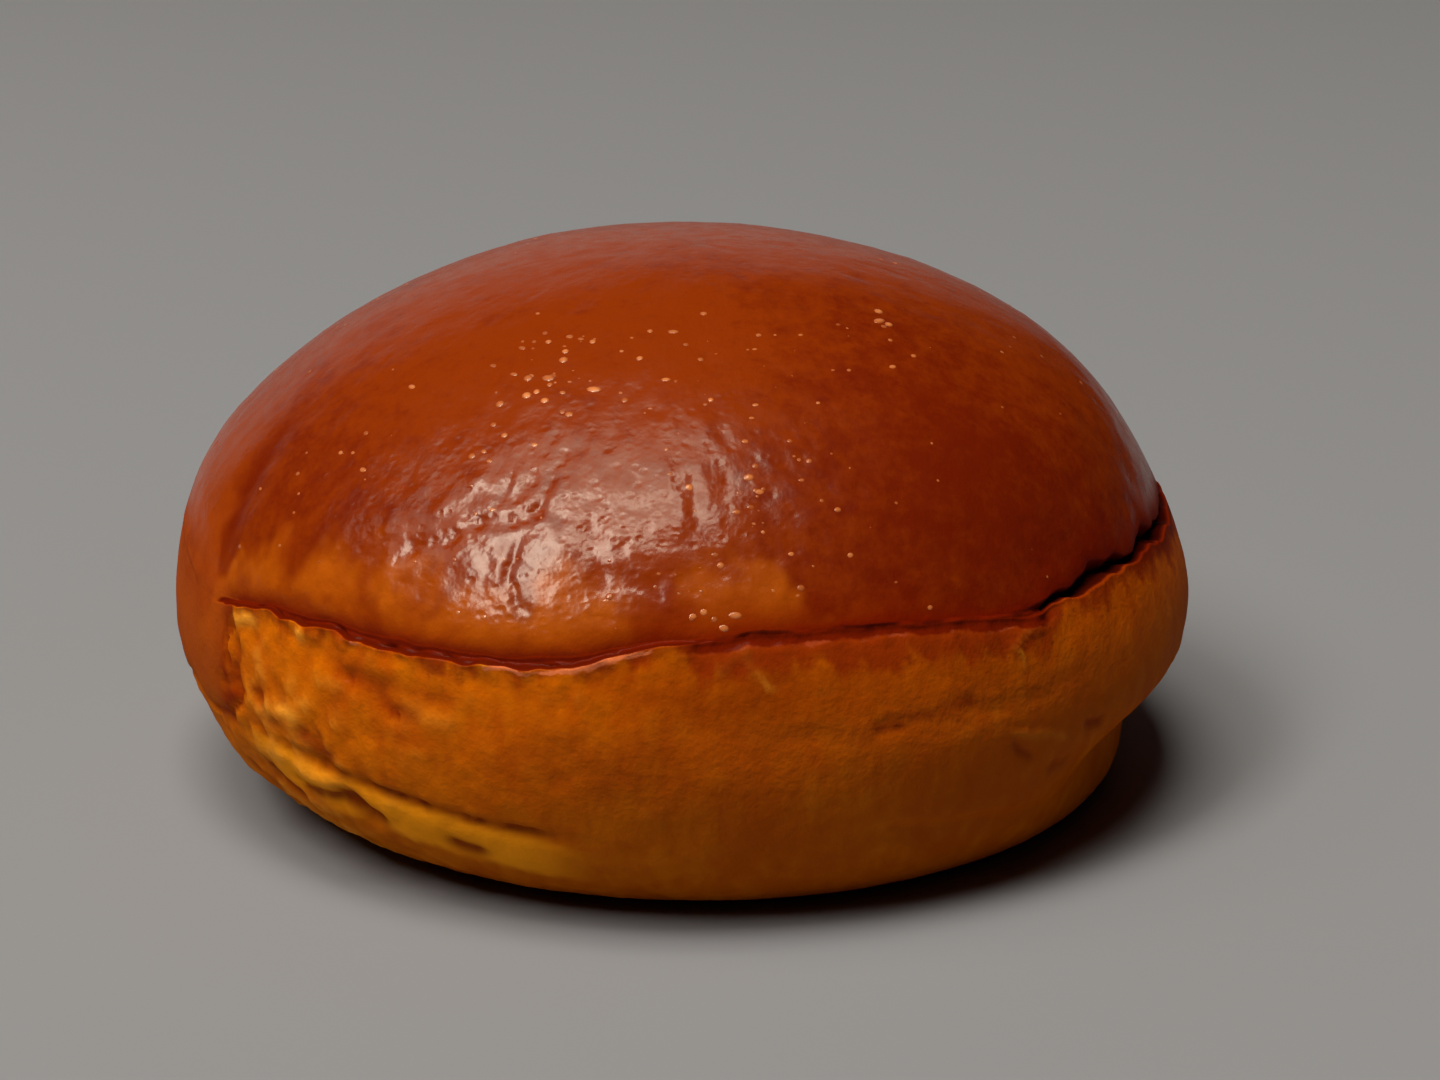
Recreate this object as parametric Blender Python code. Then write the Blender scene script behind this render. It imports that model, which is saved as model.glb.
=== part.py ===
"""A brioche burger bun: one baked piece with a domed crown, a ragged break line round it and a bulging flank.

The bun stands on its flat foot with its front towards -Y. A point of its skin is found from two numbers:
its azimuth, in degrees from the front towards +X, and its turn, in degrees down the profile, where 0 is
the top, 90 the widest ring and 180 the rim of the foot. The plain bun is two quarter superellipses, and
the roll of the crown, the break, the lip below it, the folds and the step are relief on that plain bun.
"""

import bmesh
import bpy
import numpy as np

MM = 0.001

# The plain bun. Its foot sits a little to the right, where the flank is fuller.
HALF_WIDTH = 51 * MM
HEIGHT = 54 * MM
BELLY_HEIGHT = 17.9 * MM
FOOT_RADIUS = 36 * MM
FOOT_SHIFT = 3.2 * MM
CROWN_POWER = 1.98
FLANK_OUT_POWER = 2.1
FLANK_OUT_GAIN = 0.35
FLANK_DOWN_POWER = 1.85
FLANK_DOWN_GAIN = -0.4

# The break, where the crown tore away from the flank in the oven
BREAK_HEIGHT = 26.5 * MM
BREAK_CLIMB = 1.8 * MM
FRONT_CLIMB = 1.2 * MM
BREAK_WIDTH = 1.1 * MM
BREAK_DEPTH = 1.6 * MM
BREAK_RISE = 0.7 * MM
ROLL_DEPTH = 0.9 * MM
ROLL_REACH = 1.6 * MM
LIP_DEPTH = 0.3 * MM
LIP_REACH = 0.8 * MM

# Folds of the flank, each with its first and last azimuth, its height at both, its depth and its reach
FOLDS = (
    (-42, -16, 13.6 * MM, 10.6 * MM, 0.9 * MM, 1.4 * MM),
    (14, 44, 20.4 * MM, 20.8 * MM, 0.6 * MM, 1.3 * MM),
    (26, 44, 9.8 * MM, 7.6 * MM, 0.4 * MM, 1.1 * MM),
    (118, 168, 16.0 * MM, 19.5 * MM, 0.9 * MM, 1.5 * MM),
    (196, 246, 12.0 * MM, 14.5 * MM, 0.9 * MM, 1.5 * MM),
)
FOLD_FADE = 9
HEEL = 4 * MM

# The step at the right, under a roll of dough, soft in front and sharp at the side, and the hollow at the
# left
STEP_TOP = 15.3 * MM
STEP_DROP = 3 * MM
STEP_SOFT = 7 * MM
STEP_DEPTH = 3.6 * MM
STEP_HEEL = 9 * MM
ROLL_HEIGHT = 20 * MM
ROLL_TALL = 6 * MM
ROLL_SWELL = 0.45 * MM
HOLLOW_HEIGHT = 11 * MM
HOLLOW_TALL = 4 * MM
HOLLOW_DEPTH = 0.75 * MM

# The crown's slow swells, and the valley in it at the left, which leans back as it climbs, in degrees per mm
SHOULDER_LEAN = 0.3 * MM
SHOULDER_OVAL = 0.45 * MM
CHEEK_HEIGHT = 32 * MM
CHEEK_TALL = 7 * MM
CHEEK_SWELL = 0.6 * MM
VALLEY_AZIMUTH = -60.5
VALLEY_LEAN = 0.35
VALLEY_REACH = 4
VALLEY_DEPTH = 0.6 * MM
VALLEY_FOOT = 25 * MM
VALLEY_TOP = 42 * MM

# How finely the solid is made
AZIMUTHS = 96
CROWN_RINGS = 17
BREAK_RINGS = 4
FLANK_RINGS = 20
FOOT_RINGS = 2

CRUST_COLOUR = (0.42, 0.13, 0.03, 1)
CRUST_ROUGHNESS = 0.35


def ease(x):
    """0 below 0, 1 above 1 and smooth between them."""
    x = np.clip(x, 0, 1)
    return x * x * (3 - 2 * x)


def away(azimuth, centre):
    """Degrees from centre to azimuth, the short way round."""
    return (azimuth - centre + 180) % 360 - 180


def bump(azimuth, centre, reach):
    """A smooth hump round the bun: 1 at its centre and nearly gone at twice its reach."""
    return np.exp(-((away(azimuth, centre) / reach) ** 2))


def span(azimuth, start, end, fade):
    """1 from start to end and 0 beyond the fade at either end, all in degrees."""
    beyond = np.abs(away(azimuth, (start + end) / 2)) - (end - start) / 2
    return 1 - ease(beyond / fade)


def side(azimuth):
    """-1 at the far left, 0 at front and back, and 1 at the far right."""
    return np.sin(np.radians(azimuth))


def break_height(azimuth):
    """The break lies low round the left, highest just right of the front and between them round the right."""
    climb = BREAK_CLIMB * span(azimuth, 9, 146, 25) + FRONT_CLIMB * bump(azimuth, 14, 17)
    wander = -1.9 * bump(azimuth, -63, 8) - 0.5 * bump(azimuth, 41, 6) + 0.2 * bump(azimuth, -40, 9)
    behind = -0.8 * bump(azimuth, 100, 12) + 0.8 * bump(azimuth, 212, 17) - 0.6 * bump(azimuth, 246, 11)
    return BREAK_HEIGHT + climb + (wander + behind) * MM


def openness(azimuth):
    """How far the break is open: 1 at the front left, torn but shut at the front right, wide at the right."""
    shut = 0.75 * span(azimuth, 2, 33, 14) + 0.9 * span(azimuth, -100, -68, 10)
    shut_behind = 0.6 * span(azimuth, 172, 206, 18) + 0.4 * bump(azimuth, 238, 12)
    wide = 0.9 * span(azimuth, 47, 88, 14) + 0.4 * bump(azimuth, 132, 18)
    return np.clip(1 - shut - shut_behind + wide, 0.1, 2)


def plain(azimuth, turn):
    """Radius and height of the plain bun."""
    across = np.abs(np.sin(np.radians(turn)))
    along = np.abs(np.cos(np.radians(turn)))
    foot = FOOT_RADIUS + FOOT_SHIFT * side(azimuth)
    out_power = FLANK_OUT_POWER + FLANK_OUT_GAIN * side(azimuth)
    down_power = FLANK_DOWN_POWER + FLANK_DOWN_GAIN * side(azimuth)
    crown_radius = HALF_WIDTH * across ** (2 / CROWN_POWER)
    crown_height = BELLY_HEIGHT + (HEIGHT - BELLY_HEIGHT) * along ** (2 / CROWN_POWER)
    flank_radius = foot + (HALF_WIDTH - foot) * across ** (2 / out_power)
    flank_height = BELLY_HEIGHT * (1 - along ** (2 / down_power))
    on_crown = turn <= 90
    return np.where(on_crown, crown_radius, flank_radius), np.where(on_crown, crown_height, flank_height)


def turn_at(height):
    """The turn at which the plain crown has this height."""
    along = (height - BELLY_HEIGHT) / (HEIGHT - BELLY_HEIGHT)
    return np.degrees(np.arccos(along ** (CROWN_POWER / 2)))


def outwards(azimuth, turn):
    """The plain skin's outward direction, as its radial and upward parts."""
    step = 0.5
    low_radius, low_height = plain(azimuth, np.clip(turn + step, 0, 180))
    high_radius, high_height = plain(azimuth, np.clip(turn - step, 0, 180))
    out, up = high_height - low_height, low_radius - high_radius
    size = np.hypot(out, up)
    return out / size, up / size


def break_half_width(azimuth):
    return BREAK_WIDTH * (0.3 + 0.35 * openness(azimuth))


def break_relief(azimuth, above):
    """Relief and rise of the crown's rolled rim, the cleft and the lip, by the height above its middle.

    The cleft runs in and up, so that the crown's rim hangs over it.
    """
    wide = openness(azimuth)
    half = break_half_width(azimuth)
    rolled = ROLL_DEPTH * (0.3 + 0.7 * np.minimum(wide, 1))
    rim = -rolled * np.exp(-np.maximum(above - half, 0) / ROLL_REACH)
    lip = -LIP_DEPTH * np.exp(-np.maximum(-above - half, 0) / LIP_REACH)
    upper = ease((above + half) / (2 * half))
    inside = 1 - ease(np.abs(above) / half)
    relief = rim * upper + lip * (1 - upper) - BREAK_DEPTH * wide * inside
    return relief, BREAK_RISE * wide * inside


def hump(height, middle, tall):
    """A smooth hump up the side: 1 at its middle height and nearly gone at twice its reach."""
    return np.exp(-(((height - middle) / tall) ** 2))


def mix(a, b, share):
    return a * (1 - share) + b * share


def fold_relief(azimuth, height, start, end, from_height, to_height, depth, reach):
    """A crease on the flank, sharp above and soft below."""
    run = np.clip(away(azimuth, start) / (end - start), -0.5, 1.5)
    above = height - (from_height + (to_height - from_height) * run)
    reach = np.where(above > 0, 0.45 * reach, 1.6 * reach)
    return -depth * np.exp(-((above / reach) ** 2)) * span(azimuth, start, end, FOLD_FADE)


def flank_relief(azimuth, height):
    """The folds, the roll and step at the right, and the hollow at the left."""
    relief = sum(fold_relief(azimuth, height, *fold) for fold in FOLDS)
    fall = mix(STEP_SOFT, STEP_DROP, span(azimuth, 86, 104, 14))
    drop = ease((STEP_TOP - height) / fall) * ease(height / STEP_HEEL)
    relief -= STEP_DEPTH * drop * span(azimuth, 66, 104, 24)
    relief += ROLL_SWELL * hump(height, ROLL_HEIGHT, ROLL_TALL) * bump(azimuth, 78, 30)
    relief -= HOLLOW_DEPTH * hump(height, HOLLOW_HEIGHT, HOLLOW_TALL) * bump(azimuth, -84, 26)
    return relief * ease(height / HEEL)


def crown_relief(azimuth, turn, height):
    """The crown's slow swells, and the valley that runs down to the break's left end."""
    shoulder = np.sin(np.radians(2 * np.minimum(turn, 90))) ** 2
    relief = shoulder * (SHOULDER_LEAN * side(azimuth) - SHOULDER_OVAL * np.cos(np.radians(2 * azimuth)))
    relief -= CHEEK_SWELL * side(azimuth) * hump(height, CHEEK_HEIGHT, CHEEK_TALL)
    middle = VALLEY_AZIMUTH - VALLEY_LEAN * (height - VALLEY_FOOT) / MM
    valley = ease((height - VALLEY_FOOT) / (3 * MM)) * ease((VALLEY_TOP - height) / (10 * MM))
    return relief - VALLEY_DEPTH * valley * bump(azimuth, middle, VALLEY_REACH)


def skin(azimuth, turn):
    """Points of the bun's skin, as an array that ends in x, y and z."""
    radius, height = plain(azimuth, turn)
    out, up = outwards(azimuth, turn)
    relief, rise = break_relief(azimuth, height - break_height(azimuth))
    relief += flank_relief(azimuth, height) + crown_relief(azimuth, turn, height)
    radius = radius + relief * out
    height = np.maximum(height + relief * up + rise, 0)
    angle = np.radians(azimuth)
    return np.stack([radius * np.sin(angle), -radius * np.cos(angle), height], axis=-1)


def ring_turns(azimuth):
    """The turns of the rings below the top, one row for each ring. Rings follow the break round the bun."""
    half = break_half_width(azimuth)
    middle = break_height(azimuth)
    upper, lower = turn_at(middle + half), turn_at(middle - half)
    crown = np.linspace(0, 1, CROWN_RINGS + 1)[1:, None] * upper
    cleft = upper + np.linspace(0, 1, BREAK_RINGS + 1)[1:, None] * (lower - upper)
    flank = lower + np.linspace(0, 1, FLANK_RINGS + 1)[1:, None] * (180 - lower)
    return np.concatenate([crown, cleft, flank])


def bun_rings():
    """All rings of the bun from the top to the middle of the foot."""
    azimuth = np.arange(AZIMUTHS) * 360 / AZIMUTHS
    turns = ring_turns(azimuth)
    rings = skin(np.broadcast_to(azimuth, turns.shape), turns)
    rim = rings[-1]
    rim[:, 2] = 0
    shares = np.linspace(1, 0, FOOT_RINGS + 2)[1:-1, None, None]
    return np.concatenate([rings, rim * shares])


def mesh_from_rings(name, rings):
    """A closed mesh through the rings, with a fan at the top and one at the bottom."""
    mesh = bpy.data.meshes.new(name)
    bm = bmesh.new()
    top = bm.verts.new((0, 0, HEIGHT))
    rows = [[bm.verts.new(point) for point in ring] for ring in rings]
    bottom = bm.verts.new((0, 0, 0))
    for row, below in zip(rows, rows[1:]):
        for i in range(AZIMUTHS):
            bm.faces.new((row[i - 1], below[i - 1], below[i], row[i]))
    for i in range(AZIMUTHS):
        bm.faces.new((top, rows[0][i - 1], rows[0][i]))
        bm.faces.new((bottom, rows[-1][i], rows[-1][i - 1]))
    bmesh.ops.recalc_face_normals(bm, faces=bm.faces)
    bm.to_mesh(mesh)
    bm.free()
    return mesh


def centre_on_foot(mesh):
    """Moves the mesh so that the middle of its bounding box is over the origin."""
    points = np.array([vertex.co for vertex in mesh.vertices])
    middle = (points.min(axis=0) + points.max(axis=0)) / 2
    for vertex in mesh.vertices:
        vertex.co.x -= middle[0]
        vertex.co.y -= middle[1]


def crust_material():
    material = bpy.data.materials.new("crust")
    material.use_nodes = True
    shader = material.node_tree.nodes["Principled BSDF"]
    shader.inputs["Base Color"].default_value = CRUST_COLOUR
    shader.inputs["Roughness"].default_value = CRUST_ROUGHNESS
    return material


def main():
    for old in list(bpy.data.objects):
        bpy.data.objects.remove(old)
    mesh = mesh_from_rings("bun", bun_rings())
    centre_on_foot(mesh)
    mesh.shade_smooth()
    mesh.materials.append(crust_material())
    bpy.context.scene.collection.objects.link(bpy.data.objects.new("bun", mesh))


main()
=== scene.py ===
"""The looks of a brioche burger bun: glazed crown, torn break and soft flank, with the studio round it.

The bun's skin is one fine mesh. A point of it is found from its azimuth, in degrees from the front towards
+X, and its turn, in degrees down the profile: 0 is the top, 90 the widest ring and 180 the rim of the foot.
Lengths are metres.
"""

import math

import bpy
import numpy as np
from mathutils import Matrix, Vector


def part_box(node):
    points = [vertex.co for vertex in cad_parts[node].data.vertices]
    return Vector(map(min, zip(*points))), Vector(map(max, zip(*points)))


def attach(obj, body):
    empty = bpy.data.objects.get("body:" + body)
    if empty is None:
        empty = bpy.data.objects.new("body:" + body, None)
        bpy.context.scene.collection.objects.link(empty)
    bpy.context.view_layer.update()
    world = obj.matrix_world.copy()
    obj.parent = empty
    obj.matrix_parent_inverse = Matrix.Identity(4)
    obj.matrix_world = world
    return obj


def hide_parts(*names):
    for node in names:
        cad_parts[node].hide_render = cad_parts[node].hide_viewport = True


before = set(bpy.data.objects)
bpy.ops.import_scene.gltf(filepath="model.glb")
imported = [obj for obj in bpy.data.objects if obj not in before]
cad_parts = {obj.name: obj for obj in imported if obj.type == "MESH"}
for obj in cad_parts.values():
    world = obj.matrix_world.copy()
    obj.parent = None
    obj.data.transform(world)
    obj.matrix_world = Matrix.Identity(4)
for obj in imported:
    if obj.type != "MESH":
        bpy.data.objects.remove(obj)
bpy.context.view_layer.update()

MM = 0.001

# The plain bun, with the sizes of the CAD solid. Its foot lies a little to the right.
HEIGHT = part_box("bun")[1].z
HALF_WIDTH = 51 * MM
BELLY_HEIGHT = 17.9 * MM
FOOT_RADIUS = 36 * MM
FOOT_SHIFT = 3.2 * MM
CROWN_POWER = 1.98
FLANK_OUT_POWER = 2.1
FLANK_OUT_GAIN = 0.35
FLANK_DOWN_POWER = 1.85
FLANK_DOWN_GAIN = -0.4

# The break, where the crown tore away from the flank in the oven
BREAK_HEIGHT = 26.5 * MM
BREAK_CLIMB = 1.8 * MM
FRONT_CLIMB = 1.2 * MM
BREAK_HALF_SHUT = 0.12 * MM
BREAK_HALF_OPEN = 0.36 * MM
GAPE = 0.28 * MM
CLEFT_DEPTH = 0.55 * MM
GAPE_DEPTH = 1.0 * MM
ROLL_DEPTH = 0.35 * MM
ROLL_REACH = 1.0 * MM
LIP_PROUD = 0.3 * MM
LIP_REACH = 1.1 * MM
TORN_STEP = 0.3 * MM
FRAY_DROP = 0.95 * MM
FRAY_PROUD = 0.16 * MM
FRAY_TALL = 0.27 * MM

# Stretches of the break and the flank: first and last azimuth, and the fade beyond each, in degrees
CLIMB = (9, 146, 25)
SHUT = (5, 40, 4)
SHUT_BEHIND = (172, 206, 14)
HEALED = (-104, -61, 5)
GAPING = (48, 92, 5)
STEPPED = (4, 44, 4)
FRAYED = (1, 46, 4)
TORN = (3, 43, 4)
JAGGED = (46, 90, 4)
OPEN_WALL = (48, 95, 5)
FRINGED = (50, 90, 6)
CRUMBLED = (-56, -14, 5)
RAGGED = (-58, -6, 6)
CALM = (12, 110, 20)
SHADED_EDGE_STRETCH = (66, 112, 8)

# Where the break's line wanders, and where the crown's edge steps: azimuth, reach in degrees, rise in mm
BREAK_WANDER = (
    (-63, 8, -1.9),
    (-40, 9, 0.2),
    (-3.5, 6.5, 0.8),
    (41, 6, -0.5),
    (100, 12, -0.8),
    (212, 17, 0.8),
    (246, 11, -0.6),
)
EDGE_STEPS = ((55.5, 3.5, 0.6), (64.5, 2.2, -0.7), (69.5, 2.5, 0.5), (82, 6, -0.8))

# Where the break is more or less open: stretches and places, each with its change last
OPEN_STRETCHES = ((2, 33, 14, -0.75), (-100, -68, 10, -0.9), (172, 206, 18, -0.6), (47, 88, 14, 0.35))
OPEN_PLACES = ((-54, 7, -0.5), (132, 18, 0.4), (238, 12, -0.4))

# How finely the skin is made. Columns crowd towards the front and rings towards the break.
AZIMUTHS = 580
FRONT_CROWDING = 0.38
CROWN_RINGS = 82
CROWN_CROWDING = 1.4
BREAK_RINGS = 14
FLANK_RINGS = 65
FLANK_CROWDING = 1.45
FOOT_RINGS = 5

# The camera of the photograph: 85 mm lens, 18 degrees above level
CAMERA_LENS = 85
CAMERA_SENSOR = 36
CAMERA_ELEVATION = 18
CAMERA_DISTANCE = 346 * MM
CAMERA_AIM = Vector((3.87 * MM, 0, 22.6 * MM))
CAMERA_CLIP = (0.01, 20)

# The studio: soft panels overhead to the front left, and a grey glow low at the back left. Each panel has its
# middle and its size over its height above the floor, its turn in degrees, its radiance and its colour.
FLOOR_COLOUR = (0.250, 0.274, 0.340, 1)
FLOOR_REACH = 3.0
PANEL_HEIGHT = 2.0
PANELS = (
    ("panel", (-0.62, -0.05), (1.3, 0.45), 0, 1.7, (1, 0.83, 0.60)),
    ("panel_core", (-0.59, -0.55), (0.32, 0.74), -30, 16.0, (1, 0.89, 0.70)),
    ("panel_right", (-0.10, -0.22), (0.42, 0.44), 0, 10.5, (1, 0.88, 0.67)),
)
AMBIENT = 0.004
GLOW = (0.30, 0.28, 0.25)
GLOW_DIRECTION = (-0.22, 0.97, 0.1)
GLOW_START = 0.8


# ---------------- small helpers


def ease(x):
    """0 below 0, 1 above 1 and smooth between them."""
    x = np.clip(x, 0, 1)
    return x * x * (3 - 2 * x)


def mix(a, b, share):
    return a * (1 - share) + b * share


def away(azimuth, centre):
    """Degrees from centre to azimuth, the short way round."""
    return (azimuth - centre + 180) % 360 - 180


def bump(azimuth, centre, reach):
    """A smooth hump round the bun: 1 at its centre and nearly gone at twice its reach."""
    return np.exp(-((away(azimuth, centre) / reach) ** 2))


def span(azimuth, start, end, fade):
    """1 from start to end and 0 beyond the fade at either end, all in degrees."""
    beyond = np.abs(away(azimuth, (start + end) / 2)) - (end - start) / 2
    return 1 - ease(beyond / fade)


def bumps(azimuth, table):
    """The sum of a table's bumps: centre, reach and size of each."""
    return sum(size * bump(azimuth, centre, reach) for centre, reach, size in table)


def spans(azimuth, table):
    """The sum of a table's spans: start, end, fade and size of each."""
    return sum(size * span(azimuth, start, end, fade) for start, end, fade, size in table)


def hump(height, middle, tall):
    """A smooth hump up the side: 1 at its middle height and nearly gone at twice its reach."""
    return np.exp(-(((height - middle) / tall) ** 2))


def patch(azimuth, height, centre, reach, middle, tall, strength):
    """A soft round patch on the skin. Its middle height and how tall it is are in mm."""
    return strength * bump(azimuth, centre, reach) * hump(height, middle * MM, tall * MM)


def side(azimuth):
    """-1 at the far left, 0 at front and back, and 1 at the far right."""
    return np.sin(np.radians(azimuth))


class Noise:
    """Smooth gradient noise in space, from about -1 to 1, the same on each run for the same seed."""

    GAIN = 1.6
    OCTAVE_SHIFT = 7.3

    def __init__(self, seed):
        random = np.random.default_rng(seed)
        self.order = np.tile(random.permutation(256), 2)
        slopes = random.normal(size=(256, 3))
        self.slopes = slopes / np.linalg.norm(slopes, axis=1)[:, None]

    def __call__(self, points, size):
        """Noise at the points, with lumps of about that size."""
        scaled = np.asarray(points) / size
        cell = np.floor(scaled).astype(int)
        inside = scaled - cell
        share = inside**3 * (inside * (inside * 6 - 15) + 10)
        total = np.zeros(scaled.shape[:-1])
        for corner in np.ndindex(2, 2, 2):
            offset = np.array(corner)
            x, y, z = np.moveaxis((cell + offset) & 255, -1, 0)
            slope = self.slopes[self.order[self.order[self.order[x] + y] + z]]
            weight = np.where(offset == 1, share, 1 - share).prod(axis=-1)
            total += weight * ((inside - offset) * slope).sum(axis=-1)
        return self.GAIN * total

    def rough(self, points, size, octaves=3, fall=0.5):
        """Noise with finer noise on it."""
        shift = self.OCTAVE_SHIFT * size
        return sum(fall**k * self(points + k * shift, size / 2**k) for k in range(octaves))

    def cells(self, points, size):
        """Distance to the nearest of scattered seeds, over their spacing: 0 at a seed and about 1 far off."""
        scaled = np.asarray(points) / size
        cell = np.floor(scaled).astype(int)
        nearest = np.full(scaled.shape[:-1], np.inf)
        for corner in np.ndindex(3, 3, 3):
            near = cell + corner - 1
            x, y, z = np.moveaxis(near & 255, -1, 0)
            seed = near + 0.5 + 0.45 * self.slopes[self.order[self.order[self.order[x] + y] + z]]
            nearest = np.minimum(nearest, ((seed - scaled) ** 2).sum(axis=-1))
        return np.sqrt(nearest)

    def ridged(self, points, size, octaves=3, fall=0.5):
        """Sharp crests between round hollows, from about 0 to 1."""
        total = 0
        for k in range(octaves):
            waves = self(points + k * self.OCTAVE_SHIFT * size, size / 2**k)
            total = total + fall**k * (1 - self.GAIN * np.abs(waves))
        return total / sum(fall**k for k in range(octaves))


NOISE = Noise(11)
STREAK_NOISE = Noise(23)
TINT_NOISE = Noise(37)


# ---------------- the plain bun, as in the CAD solid


def break_height(azimuth):
    """The break lies low round the left, highest just right of the front and between them round the right."""
    climb = BREAK_CLIMB * span(azimuth, *CLIMB) + FRONT_CLIMB * bump(azimuth, 14, 17)
    return BREAK_HEIGHT + climb + MM * bumps(azimuth, BREAK_WANDER)


def openness(azimuth):
    """How far the break is open: 1 at the front left, torn but shut at the front right, wide at the right."""
    return np.clip(1 + spans(azimuth, OPEN_STRETCHES) + bumps(azimuth, OPEN_PLACES), 0.1, 2)


def plain(azimuth, turn):
    """Radius and height of the plain bun."""
    across = np.abs(np.sin(np.radians(turn)))
    along = np.abs(np.cos(np.radians(turn)))
    foot = FOOT_RADIUS + FOOT_SHIFT * side(azimuth)
    out_power = FLANK_OUT_POWER + FLANK_OUT_GAIN * side(azimuth)
    down_power = FLANK_DOWN_POWER + FLANK_DOWN_GAIN * side(azimuth)
    crown_radius = HALF_WIDTH * across ** (2 / CROWN_POWER)
    crown_height = BELLY_HEIGHT + (HEIGHT - BELLY_HEIGHT) * along ** (2 / CROWN_POWER)
    flank_radius = foot + (HALF_WIDTH - foot) * across ** (2 / out_power)
    flank_height = BELLY_HEIGHT * (1 - along ** (2 / down_power))
    on_crown = turn <= 90
    return np.where(on_crown, crown_radius, flank_radius), np.where(on_crown, crown_height, flank_height)


def turn_at(azimuth, height):
    """The turn at which the plain bun has this height."""
    crown_along = np.clip((height - BELLY_HEIGHT) / (HEIGHT - BELLY_HEIGHT), 0, 1) ** (CROWN_POWER / 2)
    down_power = FLANK_DOWN_POWER + FLANK_DOWN_GAIN * side(azimuth)
    flank_along = np.clip(1 - height / BELLY_HEIGHT, 0, 1) ** (down_power / 2)
    crown_turn, flank_turn = np.degrees(np.arccos(crown_along)), 180 - np.degrees(np.arccos(flank_along))
    return np.where(height > BELLY_HEIGHT, crown_turn, flank_turn)


def outwards(azimuth, turn):
    """The plain skin's outward direction, as its radial and upward parts."""
    step = 0.5
    low_radius, low_height = plain(azimuth, np.clip(turn + step, 0, 180))
    high_radius, high_height = plain(azimuth, np.clip(turn - step, 0, 180))
    out, up = high_height - low_height, low_radius - high_radius
    size = np.hypot(out, up)
    return out / size, up / size


def around(azimuth, radius, height):
    """Points at these azimuths, radii and heights."""
    angle, radius, height = np.broadcast_arrays(np.radians(azimuth), radius, height)
    return np.stack([radius * np.sin(angle), -radius * np.cos(angle), height], axis=-1)


# ---------------- large relief


def healed_end(azimuth):
    """1 at the far left, where the crust has healed over the break."""
    return span(azimuth, *HEALED)


def parting(azimuth):
    """1 where the break gapes, and 0 where it is torn but shut or where its crust has healed over."""
    shut = 0.93 * span(azimuth, *SHUT) + 0.7 * span(azimuth, *SHUT_BEHIND) + healed_end(azimuth)
    return np.clip(1 - shut, 0, 1)


def break_half_width(azimuth):
    """Half the break's height, which is most at the right end."""
    half = BREAK_HALF_SHUT + BREAK_HALF_OPEN * openness(azimuth)
    return half + GAPE * bump(azimuth, 82, 16)


def break_relief(azimuth, above, half):
    """Relief near the break, how far inside the cleft a point is, and how far on its lower wall, for painted
    shadow.

    The crown's rim turns in a little. Below the cleft the flank's lip stands proud, and where the break is
    torn but shut the flank starts a step further in.
    """
    gaping = span(azimuth, *GAPING)
    torn = span(azimuth, *STEPPED)
    up, down = np.maximum(above - half, 0), np.maximum(-above - half, 0)
    lifted = 1 - healed_end(azimuth)
    rim = -ROLL_DEPTH * (1 - 0.7 * torn) * lifted * np.exp(-up / ROLL_REACH)
    lip = LIP_PROUD * (1 - torn) * (1 - 0.8 * gaping) * lifted * np.exp(-down / LIP_REACH)
    lip -= TORN_STEP * torn * hump(down, 0.35 * FRAY_DROP, 0.6 * FRAY_DROP)
    share = np.clip((half - above) / (2 * half), 0, 1)
    inside = np.minimum(ease(share / mix(0.7, 0.4, gaping)), ease((1 - share) / mix(0.25, 0.35, gaping)))
    parted = parting(azimuth)
    depth = mix(CLEFT_DEPTH, GAPE_DEPTH, gaping) * np.minimum(openness(azimuth), 1.5)
    lower_wall_shade = inside * parted * ease((share - 0.3) / 0.4)
    return mix(rim, lip, ease(share)) - depth * inside * parted, inside * parted, lower_wall_shade


# Folds of the flank: first and last azimuth, then in mm the height at both, the depth and the reach
FOLDS = (
    (-42, -16, 13.6, 10.6, 0.5, 0.8),
    (14, 36, 20.4, 20.6, 0.2, 0.4),
    (32, 44, 20, 21, 0.1, 0.4),
    (26, 44, 9.8, 7.6, 0.4, 1.1),
    (118, 168, 16, 19.5, 0.9, 1.5),
    (196, 246, 12, 14.5, 0.9, 1.5),
)
FOLD_FADE = 9
HEEL = 4 * MM

# The step at the right
STEP_TOP = 15.3 * MM
STEP_DROP = 2.6 * MM
STEP_SOFT = 8 * MM
STEP_DEPTH = 3.6 * MM
STEP_HEEL = 9 * MM
STEP_STRETCH = (66, 104, 24)
STEP_SHARP = (86, 104, 14)

# The roll of dough above the step, and the hollow at the left. A patch has its azimuth and reach in degrees,
# its middle height and reach in mm, and its strength, which is in mm here.
ROLL = (78, 30, 20, 6, 0.45)
HOLLOW = (-84, 26, 11, 4, -0.75)

# The crown's slow swells, and the valley in it at the left
SHOULDER_LEAN = 0.3 * MM
SHOULDER_OVAL = 0.45 * MM
CHEEK_HEIGHT = 32 * MM
CHEEK_TALL = 7 * MM
CHEEK_SWELL = 0.6 * MM
VALLEY_AZIMUTH = -60.5
VALLEY_LEAN = 0.35
VALLEY_REACH = 3.4
VALLEY_DEPTH = 0.45 * MM
VALLEY_FOOT = 25 * MM
VALLEY_TOP = 42 * MM
VALLEY_RISE = 7 * MM
VALLEY_FADE = 10 * MM


def fold_relief(azimuth, height, start, end, from_height, to_height, depth, reach):
    """A crease on the flank, sharp above and soft below."""
    run = np.clip(away(azimuth, start) / (end - start), -0.5, 1.5)
    waver = 0.5 * NOISE(around(azimuth, HALF_WIDTH, 0 * height) + 0.7, 7 * MM)
    above = height / MM - mix(from_height, to_height, run) + waver
    reach = np.where(above > 0, 0.45 * reach, 1.6 * reach)
    return -depth * MM * np.exp(-((above / reach) ** 2)) * span(azimuth, start, end, FOLD_FADE)


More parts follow.
